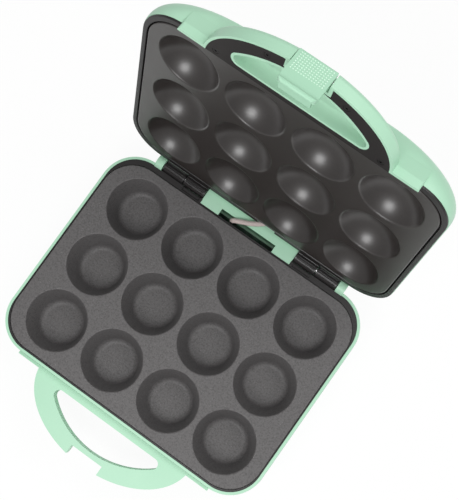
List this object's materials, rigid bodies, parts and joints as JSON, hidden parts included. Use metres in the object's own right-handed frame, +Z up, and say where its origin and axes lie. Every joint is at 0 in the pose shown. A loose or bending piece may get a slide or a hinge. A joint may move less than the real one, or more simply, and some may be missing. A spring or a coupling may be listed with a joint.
{
  "type": "cupcake maker",
  "caption": "Countertop cupcake maker: a mint clamshell cooker with a hinged lid, a grid of deep cups below, domes above, a split loop handle and a sprung latch.",
  "frame": {"origin": "middle of the bounding box's bottom face, with the lid open as in the picture and the feet on z = 0", "axes": "+X to the right along the hinge, +Y from the handle towards the hinge, +Z up"},
  "size_m": [0.2778, 0.3618, 0.3118],
  "materials": {
    "mint_shell": "satin, mint green",
    "mint_lid": "satin, mint green",
    "latch_mint": "satin, light mint with fine raised dots",
    "black_frame": "fine grained, black",
    "black_insert": "fine grained, black",
    "grey_coating": "die cast with a speckled grey non-stick coating",
    "dark_coating": "die cast with a satin dark non-stick coating",
    "steel": "bright zinc-plated",
    "black_screw": "blackened",
    "pin_steel": "dull turned steel",
    "sheathed_rod": "heat-tinted tube",
    "shield_sheet": "aluminised sheet",
    "rubber_foot": "matt dark grey",
    "gland_plastic": "matt black",
    "block_plastic": "matt off-white",
    "thermostat_ceramic": "dark moulded body",
    "fuse_case": "plain tube",
    "wire_sleeve": "matt pale pinkish grey braid",
    "wire_cover": "matt silicone",
    "red_lens": "clear red",
    "green_lens": "clear green",
    "board": "plain board",
    "lamp_glass": "clear"
  },
  "bodies": {
    "base": {"base_shell": "mint_shell", "base_frame": "black_frame", "lower_plate": "grey_coating", "lower_element": "sheathed_rod", "lower_heat_shield": "shield_sheet", "lower_plate_screws": "steel", "base_screws": "steel", "foot_front_left": "rubber_foot", "foot_front_right": "rubber_foot", "foot_rear_left": "rubber_foot", "foot_rear_right": "rubber_foot", "cord_gland": "gland_plastic", "terminal_block": "block_plastic", "thermostat": "thermostat_ceramic", "thermal_fuse": "fuse_case", "base_wiring": "wire_cover", "hinge_pin_left": "pin_steel", "hinge_pin_right": "pin_steel", "wiring_sleeve": "wire_sleeve"},
    "lid": {"lid_shell": "mint_lid", "lid_frame": "black_frame", "grip_insert": "black_insert", "insert_screws": "black_screw", "lid_rear_screws": "steel", "upper_plate": "dark_coating", "upper_element": "sheathed_rod", "upper_heat_shield": "shield_sheet", "upper_plate_screws": "steel", "power_lamp_lens": "red_lens", "ready_lamp_lens": "green_lens", "lamp_holder": "board", "neon_lamps": "lamp_glass", "lid_wiring": "wire_cover", "latch_pin": "pin_steel", "latch_spring": "steel"},
    "latch": {"latch": "latch_mint"}
  },
  "joints": [
    {"name": "lid_hinge", "type": "hinge", "parent": "base", "child": "lid", "pos_m": [0, 0.08101, 0.0536], "axis": [1, 0, 0], "range_deg": [0, 108.5], "deforming": ["wiring_sleeve"]},
    {"name": "latch_pivot", "type": "hinge", "parent": "lid", "child": "latch", "pos_m": [0, 0.16596, 0.29676], "axis": [-1, 0, 0], "range_deg": [0, 22], "stiffness_Nm_per_rad": 0.06, "springref_deg": -20.05}
  ]
}
